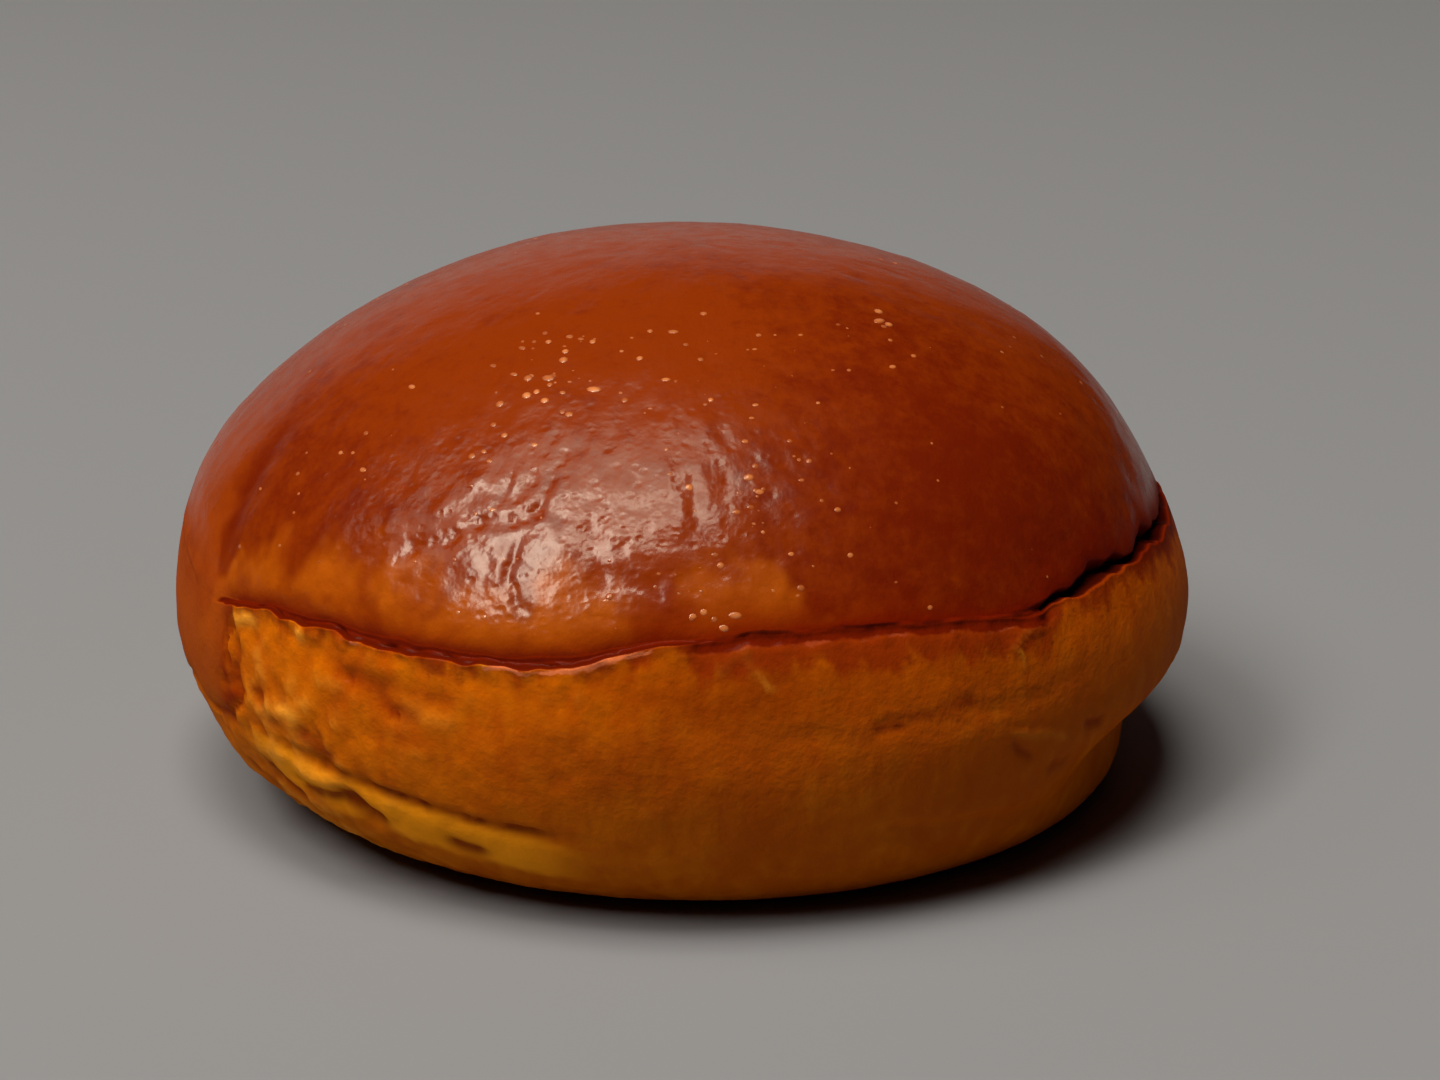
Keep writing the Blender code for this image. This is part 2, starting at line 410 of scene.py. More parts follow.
def flank_relief(azimuth, height):
    """The folds, the roll and step at the right, and the hollow at the left."""
    relief = sum(fold_relief(azimuth, height, *fold) for fold in FOLDS)
    fall = mix(STEP_SOFT, STEP_DROP, span(azimuth, *STEP_SHARP))
    drop = ease((STEP_TOP - height) / fall) * ease(height / STEP_HEEL)
    relief -= STEP_DEPTH * drop * span(azimuth, *STEP_STRETCH)
    relief += MM * (patch(azimuth, height, *ROLL) + patch(azimuth, height, *HOLLOW))
    return relief * ease(height / HEEL)


def valley(azimuth, height, reach, fade):
    """The valley that runs down to the break's left end, leaning left as it climbs: its share, 0 to 1."""
    middle = VALLEY_AZIMUTH - VALLEY_LEAN * (height - VALLEY_FOOT) / MM
    tall = ease((height - VALLEY_FOOT) / VALLEY_RISE) * ease((VALLEY_TOP - height) / fade)
    return tall * bump(azimuth, middle, reach)


def crown_relief(azimuth, turn, height):
    """The crown's slow swells, and its valley."""
    shoulder = np.sin(np.radians(2 * np.minimum(turn, 90))) ** 2
    relief = shoulder * (SHOULDER_LEAN * side(azimuth) - SHOULDER_OVAL * np.cos(np.radians(2 * azimuth)))
    relief -= CHEEK_SWELL * side(azimuth) * hump(height, CHEEK_HEIGHT, CHEEK_TALL)
    return relief - VALLEY_DEPTH * valley(azimuth, height, VALLEY_REACH, VALLEY_FADE)


# ---------------- the fine skin

# Sizes of the crown's detail, and the patch where its glaze is wrinkled
SWELL_SIZE = 15 * MM
DENT_SIZE = 5 * MM
WRINKLE_SIZE = 3 * MM
BUBBLE_SPACING = 1.4 * MM
PIT_SPACING = 4.5 * MM
WRINKLED = (-18, 34, 38, 9, 1)

# Sizes of the flank's detail, and where it is crumbly, at the lower left
FLANK_SWELL_SIZE = 13 * MM
LUMP_SIZE = 4.5 * MM
STREAK_SIZE = 1.6 * MM
CRUMB_SIZE = 2.4 * MM
HOLE_SIZE = 2.6 * MM
CRUMB_AZIMUTH = -48
CRUMB_REACH = 16
CRUMB_TOP = 25 * MM
CRUMB_FADE = 8 * MM
NEAR_BREAK = 2.2 * MM

# The healed left end of the break, where the brown crust runs on down the side. Its paler brown fades out
# up the crown, and behind it, over so many degrees, its edge grows soft and uneven.
HEALED_AZIMUTH = -84
HEALED_HALF = 28
HEALED_SHIFT = 5
HEALED_BEHIND = 15
HEALED_FOOT = 14.5 * MM
HEALED_TOP = 26 * MM
HEALED_FADE = 16 * MM
GROOVE_DEPTH = 0.4 * MM
GROOVE_TOP = 25 * MM

# Where the crown is dull: beside the valley at the left, and at its rim above the break
DULL = 0.97
DULL_AZIMUTH = -65
DULL_REACH = 15
DULL_TOP = 36 * MM
DULL_FADE = 12 * MM
DULL_RIM_TALL = 2.2 * MM

# The rise in mm of a ridge as pale as torn crumb, partly a painted highlight, and the depth in mm of a groove
# as dark as torn crust, as painted shade
PALE_RISE = 0.35
DARK_FALL = 0.5

# Strokes are short grooves and ridges: azimuth and height in mm of each end, then reach and rise in mm.
# The crown has a fold of skin left of its middle, and a crack below it.
CROWN_STROKES = (
    (-34.5, 31.5, -31.5, 34.3, 0.8, -0.22),
    (-31.5, 34.3, -27, 35.6, 0.8, -0.26),
    (-27, 35.6, -24, 37.3, 0.6, -0.34),
    (-24, 37.3, -20, 37.4, 0.5, -0.4),
    (-20, 37.4, -17, 38.6, 0.6, -0.4),
    (-17, 38.6, -16.6, 41, 0.6, -0.3),
    (-22.5, 38.5, -22, 41, 0.4, -0.24),
    (-20.6, 39.2, -19.4, 40.4, 0.9, -0.24),
    (-30, 37.6, -26.5, 39.9, 1, 0.28),
    (-26.5, 39.9, -21.5, 40.9, 0.8, 0.24),
    (-25, 35.6, -20.4, 33.4, 0.45, -0.12),
    (-18.5, 35.7, -18.9, 33.2, 0.35, -0.24),
    (-18.9, 33.2, -16.2, 30.6, 0.35, -0.22),
    (-35.8, 36.3, -35.6, 35.5, 0.9, 0.34),
    (-33.9, 32.8, -33.7, 31.5, 0.8, 0.34),
    (-6, 41.5, -3, 36.5, 0.8, -0.16),
    (-1.5, 42, 0.5, 37, 0.9, 0.16),
    (2, 41, 3.5, 37.5, 0.7, -0.14),
    (-10, 37.5, -8, 34, 1, -0.24),
    (-8, 34, -2, 33, 1.1, -0.24),
)
# The lower left flank has pale lumps and hollows, and the right flank has torn spots. The flank's grooves get
# painted shade, and its ridges are made paler, partly a painted highlight.
FLANK_STROKES = (
    (-45.8, 17.6, -43.8, 17.5, 0.9, 0.3),
    (-49.4, 12.3, -47.4, 12.3, 0.8, 0.3),
    (-55, 24.3, -51.5, 25.2, 0.6, 0.32),
    (-43.8, 25.5, -43.2, 25.1, 0.45, 0.3),
    (-43, 11.8, -38.5, 11.4, 1, 0.22),
    (-28, 21.2, -23.5, 20.6, 0.9, 0.14),
    (-38.2, 10.1, -34.6, 8.6, 1.2, -0.8),
    (-36.9, 10.4, -35.6, 8.6, 1.2, -0.6),
    (-44.6, 9.4, -39.5, 9.9, 0.8, -0.4),
    (-24.6, 7.6, -22.2, 7.2, 1, -0.45),
    (-51.5, 10.4, -47, 8, 0.8, -0.45),
    (-35.9, 23.1, -35.4, 22.6, 0.5, -0.35),
    (-30.2, 20.5, -29.4, 20.3, 0.4, -0.5),
    (-54.6, 21.8, -54.2, 17, 0.9, -0.32),
    (-42.5, 15.9, -39, 14.7, 1, -0.36),
    (-36, 23.3, -23, 22.5, 0.7, -0.18),
    (-33.5, 12.7, -27, 11.5, 0.5, -0.36),
    (-22.5, 10.9, -14, 10.5, 0.45, -0.36),
    (7.1, 27.9, 8, 26.7, 0.5, 0.17),
    (8, 26.7, 9.9, 24.7, 0.28, 0.16),
    (7.1, 27.9, 5, 26.8, 0.5, 0.14),
    (38.9, 23.6, 38.4, 25.2, 0.3, 0.18),
    (38.4, 25.2, 43.3, 27.4, 0.28, 0.24),
    (21, 20.6, 32, 21.3, 0.4, -0.28),
    (37, 17.2, 45.5, 15.2, 0.35, 0.14),
    (37.2, 16.1, 39.8, 14, 0.4, -0.22),
    (49, 15.6, 51.5, 15.2, 0.7, -0.28),
    (44, 12.2, 46.5, 12, 0.7, -0.2),
    (-37, 23.2, -31.5, 22.3, 0.9, -0.26),
    (-31.5, 21.4, -27.4, 20.6, 0.9, -0.26),
)


def skin_azimuths():
    """Azimuths of the mesh's columns."""
    turn = np.arange(AZIMUTHS) * 2 * math.pi / AZIMUTHS
    return np.degrees(turn - FRONT_CROWDING * np.sin(turn))


def fine_break(azimuth):
    """Heights of the crown's ragged edge and of the flank's ragged lip, above and below the cleft."""
    line = around(azimuth, HALF_WIDTH, BREAK_HEIGHT)
    ragged = 0.4 + 0.6 * np.minimum(openness(azimuth), 1)
    middle = break_height(azimuth) + 0.35 * MM * NOISE(line, 5 * MM) * ragged
    half = break_half_width(azimuth)
    jagged = 0.36 * MM * span(azimuth, *JAGGED)
    crown_edge = middle + half * (1 + 0.4 * NOISE.rough(line + 1, 4 * MM))
    crown_edge = crown_edge + jagged * NOISE(line + 3, 2.6 * MM)
    crumbled = 0.5 + 0.4 * span(azimuth, *CRUMBLED)
    lip = middle - half * (1 + crumbled * NOISE.rough(line + 2, 3 * MM, 2, 0.6))
    lip = lip + jagged * NOISE.rough(line + 4, 3 * MM)
    crown_edge = crown_edge + MM * bumps(azimuth, EDGE_STEPS)
    lip = np.minimum(lip, crown_edge - 0.1 * MM)
    return crown_edge, lip


def ring_turns(azimuth):
    """The turns of the rings below the top, one row for each ring. Rings follow the break round the bun."""
    crown_edge, lip = fine_break(azimuth)
    upper, lower = turn_at(azimuth, crown_edge), turn_at(azimuth, lip)
    crown = 1 - (1 - np.linspace(0, 1, CROWN_RINGS + 1)[1:, None]) ** CROWN_CROWDING
    cleft = np.linspace(0, 1, BREAK_RINGS + 1)[1:, None]
    flank = np.linspace(0, 1, FLANK_RINGS + 1)[1:, None] ** FLANK_CROWDING
    return np.concatenate([crown * upper, mix(upper, lower, cleft), mix(lower, 180, flank)])


def plain_point(azimuth, height):
    """The point of the plain skin at this azimuth and this height in mm."""
    return around(azimuth, *plain(azimuth, turn_at(azimuth, height * MM)))


def stroke(place, azimuth, height, end_azimuth, end_height, reach):
    """A rounded groove or ridge along a straight line between two points of the skin: its share, 0 to 1."""
    start = plain_point(azimuth, height)
    run = plain_point(end_azimuth, end_height) - start
    along = np.clip(((place - start) @ run) / (run @ run), 0, 1)
    distance = np.linalg.norm(place - start - along[..., None] * run, axis=-1)
    return np.exp(-((distance / (reach * MM)) ** 2))


def strokes(place, table, strength=1.0):
    """Relief of a table's strokes, and masks of its ridges (pale, partly painted highlight) and grooves
    (painted shade).
    """
    relief, proud, sunk = 0, 0, 0
    wobbled = place + 0.4 * MM * NOISE(place, 1.6 * MM)[..., None]
    for *line, rise in table:
        share = stroke(wobbled, *line)
        relief = relief + strength * rise * MM * share
        if rise > 0:
            proud = np.maximum(proud, share * min(rise / PALE_RISE, 1) ** 2)
        else:
            sunk = np.maximum(sunk, share * min(-rise / DARK_FALL, 1))
    return relief, proud, sunk


def behind_healed(azimuth):
    """0 on the front half of the healed crust and 1 towards its far end."""
    return ease(-away(azimuth, HEALED_AZIMUTH) / HEALED_BEHIND)


def healed_edge(azimuth, height, place):
    """Millimetres inside the brown crust that runs on down the side, at the healed left end of the break."""
    half = HEALED_HALF - HEALED_SHIFT * ease((height - BREAK_HEIGHT) / (3 * MM) + 0.5)
    beyond = np.abs(away(azimuth, HEALED_AZIMUTH)) - half + 4 * NOISE.rough(place, 5 * MM)
    beyond = beyond + HEALED_SHIFT * ease((height - BREAK_HEIGHT) / (12 * MM))
    beyond = beyond + 12 * behind_healed(azimuth) * NOISE.rough(place + 0.9, 12 * MM, 3)
    low = (HEALED_FOOT - height) / MM + 1.5 * NOISE(place + 0.3, 3 * MM)
    low = low + 3.5 * behind_healed(azimuth) * NOISE(place + 0.5, 10 * MM)
    return -np.maximum(beyond * np.radians(1) * HALF_WIDTH / MM, low)


def crown_detail(azimuth, height, place):
    """Wrinkles, bubbles, pits and slow swells of the glazed crown, and how wrinkled it is."""
    wrinkled = patch(azimuth, height, *WRINKLED)
    swells = NOISE(place + 0.11, SWELL_SIZE)
    dents = NOISE.rough(place, DENT_SIZE, 2)
    wrinkles = NOISE.ridged(place * (1, 1, 1.5), WRINKLE_SIZE, 3, 0.45) - 0.6
    bubbles = 0.5 - np.minimum(NOISE.cells(place + 0.07, BUBBLE_SPACING), 0.6)
    pits = 1 - ease(NOISE.cells(place * (1, 1, 1.4) + 0.03, PIT_SPACING) / 0.24)
    detail = 0.2 * swells + (0.08 + 0.05 * wrinkled) * dents - 0.1 * pits
    detail += (0.05 + 0.08 * wrinkled) * wrinkles + (0.03 + 0.04 * wrinkled) * bubbles
    return MM * detail + strokes(place, CROWN_STROKES, 0.6)[0], wrinkled


def frayed(azimuth, below, place):
    """The thin torn edge of skin that hangs below the break's shut part: its share, 0 to 1."""
    drop = below - FRAY_DROP * (1 + 0.45 * NOISE.rough(place * (1, 1, 0.1) + 0.6, 4 * MM, 2))
    here = ease(0.45 + 1.5 * STREAK_NOISE(place * (1, 1, 0.1) + 0.7, 2.4 * MM))
    return np.exp(-((drop / FRAY_TALL) ** 2)) * here * span(azimuth, *FRAYED)


def flank_detail(azimuth, height, below, place):
    """Relief of the flank: torn streaks and crumbly lip near the break, and torn crumb at the lower left.

    Also how pale each place is, partly a painted highlight, its hollows' painted shade, and the streaks
    themselves.
    """
    low = ease((CRUMB_TOP - height) / CRUMB_FADE)
    crumbly = bump(azimuth, CRUMB_AZIMUTH, CRUMB_REACH) * mix(0.35, 1, low)
    swells = NOISE(place + 0.17, FLANK_SWELL_SIZE)
    lumps = NOISE.rough(place + 0.4, LUMP_SIZE, 2)
    streaks = STREAK_NOISE.rough(place * (1, 1, 0.3), STREAK_SIZE, 3, 0.6)
    crumb = NOISE.rough(place + 0.2, CRUMB_SIZE, 3, 0.6)
    pits = -ease(NOISE(place + 0.3, HOLE_SIZE) * 2 - 0.5)
    near = np.exp(-np.maximum(below, 0) / NEAR_BREAK)
    torn = span(azimuth, *TORN) * near
    ragged = span(azimuth, *RAGGED) * near
    calm = 1 - 0.5 * span(azimuth, *CALM)
    relief = calm * (0.22 * swells + 0.14 * lumps + (0.05 + 0.3 * torn) * streaks)
    relief += calm * (0.04 + 0.36 * ragged + 0.08 * torn) * crumb
    relief += crumbly * (0.24 * crumb + 0.28 * pits) + FRAY_PROUD / MM * frayed(azimuth, below, place)
    marked, proud, sunk = strokes(place, FLANK_STROKES)
    rough = crumb + 0.5 * lumps
    # Raised crumb is made paler, partly a painted highlight, and low crumb and pits darker, as painted shade
    pale = ease(rough * 0.7 + 0.5 * crumbly - 0.3) * (0.1 + 0.65 * np.maximum(crumbly, ragged))
    hollow = ease(-rough - 0.25) * (0.08 + 0.5 * crumbly) - 0.8 * pits * crumbly
    pale = np.maximum(pale, np.minimum(1.4 * proud, 1))
    return MM * relief + marked, pale, np.maximum(np.minimum(1.3 * sunk, 1), hollow), streaks


def glossiness(azimuth, height, above):
    """The share of its gloss that the crown keeps, at this height above its lower edge."""
    beside = bump(azimuth, DULL_AZIMUTH, DULL_REACH) * ease((DULL_TOP - height) / DULL_FADE)
    rim = np.exp(-((np.maximum(above, 0) / DULL_RIM_TALL) ** 2))
    return (1 - DULL * beside) * (1 - DULL * rim)


def surface(azimuth, turn):
    """Points of the fine skin, and the masks that its colour and gloss are worked out from."""
    radius, height = plain(azimuth, turn)
    place = around(azimuth, radius, height)
    out, up = outwards(azimuth, turn)
    crown_edge, lip = fine_break(azimuth)
    middle, half = (crown_edge + lip) / 2, (crown_edge - lip) / 2
    above = height - middle
    relief, inside, lower_wall_shade = break_relief(azimuth, above, half)
    relief = relief + flank_relief(azimuth, height) + crown_relief(azimuth, turn, height)

    healed = healed_edge(azimuth, height, place)
    behind = behind_healed(azimuth)
    healed_over = ease(healed / (1.2 + 7 * behind) + 0.5)
    groove = np.exp(-(((healed + 0.5) / 0.6) ** 2)) * ease((GROOVE_TOP - height) / (2 * MM)) * (1 - behind)
    crown = ease(above / (0.4 * MM) + 0.5)
    on_flank, pale, sunk, streaks = flank_detail(azimuth, height, -above - half, place)
    on_flank -= GROOVE_DEPTH * groove
    on_crown, wrinkled = crown_detail(azimuth, height, place)
    relief += mix(on_flank * (1 - 0.6 * healed_over), on_crown, crown)
    relief *= mix(ease(height / (2.5 * MM)), 1, crown)

    radius = radius + relief * out
    points = around(azimuth, radius, np.maximum(height + relief * up, 0))
    brown_crust = np.maximum(crown, healed_over)
    open_wall = span(azimuth, *OPEN_WALL)
    masks = {
        "crown": brown_crust,
        "gloss": brown_crust * glossiness(azimuth, height, above - half),
        "healed": 0.75 * ease((healed + 0.5) / 3) * (1 - ease((height - HEALED_TOP) / HEALED_FADE)),
        "wrinkled": wrinkled,
        # Inside the cleft: dark brown with painted shade; painted shadow on its lower wall, most where it
        # gapes
        "cleft": inside,
        "lower_wall_shade": np.minimum(lower_wall_shade * (1 + 3 * open_wall), 1) * mix(0.45, 1, open_wall),
        # Pale crumb and ridges, partly a painted highlight, and painted shade in grooves and hollows
        "pale": pale,
        "sunk": np.maximum(sunk, groove),
        **crown_tints(azimuth, height, above - half, place),
        **flank_tints(azimuth, height, -above - half, place, streaks),
    }
    return points, masks


# ---------------- where the crust takes which colour

# The golden rim of the crown, from the break's left end to just right of the middle: its stretch and height
GOLD = (-54, 8, 12)
GOLD_TALL = 5.0 * MM

# The browner patches of the crown, and the patches of painted shade on the flank, darker and redder
BROWN_PATCHES = (
    (40, 27, 42, 9, 0.8),
    (48, 36, 31, 7, 0.45),
    (-50, 26, 39, 8, 0.35),
    (165, 50, 37, 12, 0.45),
)
PAINTED_SHADE_PATCHES = (
    (7, 17, 24.5, 4.5, 0.85),
    (-6, 10, 18.5, 4.5, 0.6),
    (33, 11, 24.5, 4, 0.5),
)

# The torn band under the shut part of the break, its shorter fringe at the open right, and the painted shadow
# on the flank's edge there
TORN_LEAST = 0.3 * MM
TORN_TALL = 3.3 * MM
FRINGE_TALL = 1.2 * MM
SHADED_EDGE_TALL = 1.8 * MM

# Where the flank's lip is pale, partly painted highlight: places and stretches, each with its strength last
PALE_LIP_PLACES = ((-42, 2, 0.25), (-35, 3.5, 0.4), (-18, 2, 0.4), (-6, 4.5, 0.9))
PALE_LIP_STRETCHES = ((-19, -8, 2, 0.42),)

# The yellow band torn open under the left fold
BAND_START = -46
BAND_END = -18
BAND_TOP = 13.4 * MM
BAND_FALL = 3.4 * MM
BAND_TALL = 3.8 * MM


def crown_tints(azimuth, height, above, place):
    """Browning, golden rim, burnt patches, valley stripe, painted rim shade. Edge masks: a depth in mm, plus
    inside.
    """
    brown = 0.08 + sum(patch(azimuth, height, *row) for row in BROWN_PATCHES)
    brown += 0.2 * TINT_NOISE.rough(place, 14 * MM, 2)
    flames = TINT_NOISE.rough(place * (1, 1, 0.5), 5 * MM, 3, 0.6)
    uneven = azimuth + 5 * TINT_NOISE.rough(place + 0.1, 4 * MM, 2)
    golden = span(uneven, *GOLD) + 0.55 * bump(azimuth, 225, 45)
    tall = GOLD_TALL * (golden + 0.12 * bump(uneven, 8.5, 3.5) - 0.45 * bump(azimuth, -1, 6))
    gold_edge = (tall - above) / MM + (0.6 + 2.6 * golden) * flames - 3.5 * (1 - golden)
    patches = TINT_NOISE.rough(place + 0.4, 5 * MM, 3, 0.6)
    scorch_and_valley_stripe = ease(patches * 1.5 - 0.1) * hump(height, 31 * MM, 5 * MM) * (1 - 0.7 * bump(azimuth, 7, 6))
    # The rim mask darkens the crown just above the break: browner crust, partly painted shade where it turns
    # under
    rim_tall = 1.9 + 0.6 * TINT_NOISE(place + 0.2, 3 * MM) + 1.9 * bump(azimuth, 4, 8)
    rim_tall = rim_tall - 0.7 * span(azimuth, 5, 40, 6) - 0.5 * golden * (1 - 0.8 * bump(azimuth, 3, 8))
    rim = 0.9 * np.exp(-((np.maximum(above, 0) / (np.maximum(rim_tall, 0.4) * MM)) ** 1.3))
    rim = rim * (1 - healed_end(azimuth))
    # Also darker along the floor of the valley at the left
    scorch_and_valley_stripe = np.maximum(scorch_and_valley_stripe, 1.3 * valley(azimuth, height, 0.65 * VALLEY_REACH, 5 * MM))
    return {"brown": brown, "gold_edge": gold_edge, "scorch_and_valley_stripe": scorch_and_valley_stripe, "rim": rim}


def flank_tints(azimuth, height, below, place, streaks):
    """Torn crust under the break, pale lip partly painted as highlight, the yellow torn band, and painted
    shade.
    """
    clumps = STREAK_NOISE(place * (1, 1, 0.4) + 0.3, 3.5 * MM)
    torn = span(azimuth, *TORN)
    torn_tall = mix(TORN_LEAST, TORN_TALL, torn) + FRINGE_TALL * span(azimuth, *FRINGED)
    torn_edge = (torn_tall - below) / MM - 0.9 * streaks + 1.5 * clumps
    torn_edge = torn_edge + 0.9 * TINT_NOISE(place + 0.8, 1.3 * MM)
    lipped = bumps(azimuth, PALE_LIP_PLACES) + spans(azimuth, PALE_LIP_STRETCHES)
    run = np.clip((away(azimuth, 0) - BAND_START) / (BAND_END - BAND_START), -0.3, 1.3)
    under = (BAND_TOP - BAND_FALL * run - height) / BAND_TALL
    band = ease(under * 5 + 0.5) * ease((1.3 - under) * 3) * span(azimuth, BAND_START, BAND_END, 11)
    tan = 0.4 + 0.4 * side(azimuth + 25) + 0.25 * TINT_NOISE(place + 0.6, 12 * MM)
    stains = TINT_NOISE.rough(place * (1, 1, 0.45) + 0.2, 3.5 * MM, 2)
    tan += (0.25 - 0.12 * span(azimuth, *CALM)) * stains
    # Painted shade: patches of the flank made darker and redder, where less light falls
    painted_shade = np.max([patch(azimuth, height, *row) for row in PAINTED_SHADE_PATCHES], axis=0)
    # Painted shadow: the flank's edge under the open break is darkened where shade falls
    shaded_edge = 0.9 * span(azimuth, *SHADED_EDGE_STRETCH) * ease((SHADED_EDGE_TALL - below) / SHADED_EDGE_TALL)
    return {
        "torn_edge": torn_edge, "streaks": streaks, "torn": torn, "lipped": lipped, "band": band, "tan": tan,
        "drop": below / MM, "painted_shade": painted_shade, "shaded_edge": shaded_edge,
    }


# ---------------- meshes


def grid_mesh(name, rings, top, bottom):
    """A closed mesh through the rings, with a fan at the top and one at the bottom."""
    count, columns = rings.shape[:2]
    vertices = np.concatenate([rings.reshape(-1, 3), [top, bottom]])
    ring = np.arange(count)[:, None] * columns
    column = np.arange(columns)
    before = np.roll(column, 1)
    upper = ring[:-1]
    quads = np.stack([upper + before, upper + columns + before, upper + columns + column, upper + column], -1)
    last = (count - 1) * columns
    top_index, bottom_index = count * columns, count * columns + 1
    top_fan = np.stack([np.full(columns, top_index), before, column], -1)
    bottom_fan = np.stack([np.full(columns, bottom_index), last + column, last + before], -1)
    faces = quads.reshape(-1, 4).tolist() + top_fan.tolist() + bottom_fan.tolist()
    mesh = bpy.data.meshes.new(name)
    mesh.from_pydata(vertices.tolist(), [], faces)
    mesh.shade_smooth()
    return mesh


def add_mask(mesh, name, values):
    """Stores a number for each vertex under this name."""
    attribute = mesh.attributes.new(name, "FLOAT", "POINT")
    attribute.data.foreach_set("value", np.asarray(values, np.float32).ravel())


# ---------------- materials


class Nodes:
    """Short ways to make and join a material's nodes."""

    def __init__(self, name):
        self.material = bpy.data.materials.new(name)
        self.material.use_nodes = True
        self.tree = self.material.node_tree
        self.shader = self.tree.nodes["Principled BSDF"]

    def put(self, socket, value):
        """Links a node's output into the socket, or sets a plain value there."""
        if isinstance(value, bpy.types.NodeSocket):
            self.tree.links.new(value, socket)
        else:
            socket.default_value = value

    def give(self, name, value):
        """Sets one of the shader's own inputs, or links a node's output into it."""
        self.put(self.shader.inputs[name], value)

    def mask(self, name):
        """One of the masks that are stored on the mesh."""
        node = self.tree.nodes.new("ShaderNodeAttribute")
        node.attribute_name = name
        return node.outputs["Fac"]

    def math(self, operation, a, b=0.0, c=0.0):
        node = self.tree.nodes.new("ShaderNodeMath")
        node.operation = operation
        for socket, value in zip(node.inputs, (a, b, c)):
            self.put(socket, value)
        return node.outputs[0]

    def range(self, value, low, high, to_low=0.0, to_high=1.0):
        """A smooth step from one value to another, while the input goes from low to high."""
        node = self.tree.nodes.new("ShaderNodeMapRange")
        node.interpolation_type = "SMOOTHSTEP"
        for socket, number in zip(node.inputs, (value, low, high, to_low, to_high)):
            self.put(socket, number)
        return node.outputs[0]

    def mix(self, share, a, b):
        """A colour mixed from two."""
        node = self.tree.nodes.new("ShaderNodeMix")
        node.data_type = "RGBA"
        self.put(node.inputs[0], share)
        self.put(node.inputs[6], a)
        self.put(node.inputs[7], b)
        return node.outputs[2]

    def layers(self, colour, *layers):
        """The colour under layers, each with its share and its own colour."""
        for share, layer in layers:
            colour = self.mix(share, colour, layer)
        return colour

    def place(self, stretch=(1, 1, 1)):
        """The place on the object, in millimetres over the stretch."""
        coordinates = self.tree.nodes.new("ShaderNodeTexCoord")
        node = self.tree.nodes.new("ShaderNodeMapping")
        node.inputs["Scale"].default_value = [1 / (MM * s) for s in stretch]
        self.put(node.inputs["Vector"], coordinates.outputs["Object"])
        return node.outputs[0]

    def noise(self, place, size, detail=3.0, roughness=0.5):
        """Noise from 0 to 1 with lumps of about that many millimetres."""
        node = self.tree.nodes.new("ShaderNodeTexNoise")
        self.put(node.inputs["Vector"], place)
        for name, value in (("Scale", 1 / size), ("Detail", detail), ("Roughness", roughness)):
            node.inputs[name].default_value = value
        return node.outputs["Fac"]

    def cells(self, place, size):
        """Distance to the nearest of scattered seeds, over their spacing of that many millimetres."""
        node = self.tree.nodes.new("ShaderNodeTexVoronoi")
        self.put(node.inputs["Vector"], place)
        node.inputs["Scale"].default_value = 1 / size
        return node.outputs["Distance"]

    def bump(self, height, depth, normal=None):
        """A normal bent by a height field of that depth in millimetres."""
        node = self.tree.nodes.new("ShaderNodeBump")
        node.inputs["Strength"].default_value = 1.0
        node.inputs["Distance"].default_value = depth * MM
        self.put(node.inputs["Height"], height)
        if normal is not None:
            self.put(node.inputs["Normal"], normal)
        return node.outputs[0]


# Colours of the crust and its blisters, in linear light
ORANGE_BROWN = (0.253, 0.0320, 0.0008, 1)
RED_BROWN = (0.160, 0.0120, 0.0008, 1)
# Burnt patches of the crown, and the darker stripe along its valley
SCORCHED = (0.145, 0.0085, 0.0008, 1)
# Browner crust and painted shade at the crown's lower edge
RIM_RED_AND_SHADE = (0.19, 0.0085, 0.0008, 1)
GOLDEN = (0.48, 0.102, 0.003, 1)
HEALED_BROWN = (0.37, 0.062, 0.005, 1)
OCHRE = (0.65, 0.160, 0.0016, 1)
TAN = (0.49, 0.088, 0.0012, 1)
RUST = (0.33, 0.038, 0.0014, 1)
# Painted shade on the flank
PAINTED_SHADE_BROWN = (0.26, 0.040, 0.0010, 1)
# Pale torn crumb, partly a painted highlight on raised crumb
PALE_CRUMB_AND_HIGHLIGHT = (0.92, 0.35, 0.03, 1)
# Browned torn crust, also used for painted shade in grooves and hollows
TORN_BROWN_AND_SHADE = (0.24, 0.021, 0.002, 1)
# Dark torn crust, also painted shade under the crown's edge and painted shadow on the flank's edge
TORN_DARK_AND_SHADE = (0.15, 0.010, 0.001, 1)
TORN_YELLOW = (1.0, 0.345, 0.008, 1)
# The pale lip, partly a painted highlight where its ledge catches light
PALE_LIP_AND_HIGHLIGHT = (0.82, 0.22, 0.09, 1)
# Pinkish frayed skin, partly a painted highlight
FRAYED_PINK_AND_HIGHLIGHT = (0.40, 0.065, 0.022, 1)
# Inside the cleft: dark brown with painted shade, and painted shadow on its lower wall
CLEFT_BROWN_AND_SHADE = (0.15, 0.009, 0.001, 1)
CLEFT_PAINTED_SHADOW = (0.035, 0.0025, 0.0006, 1)
# Blister tops: paler skin, partly a painted highlight
BLISTER_PALE_AND_HIGHLIGHT = (0.792, 0.271, 0.0858, 1)


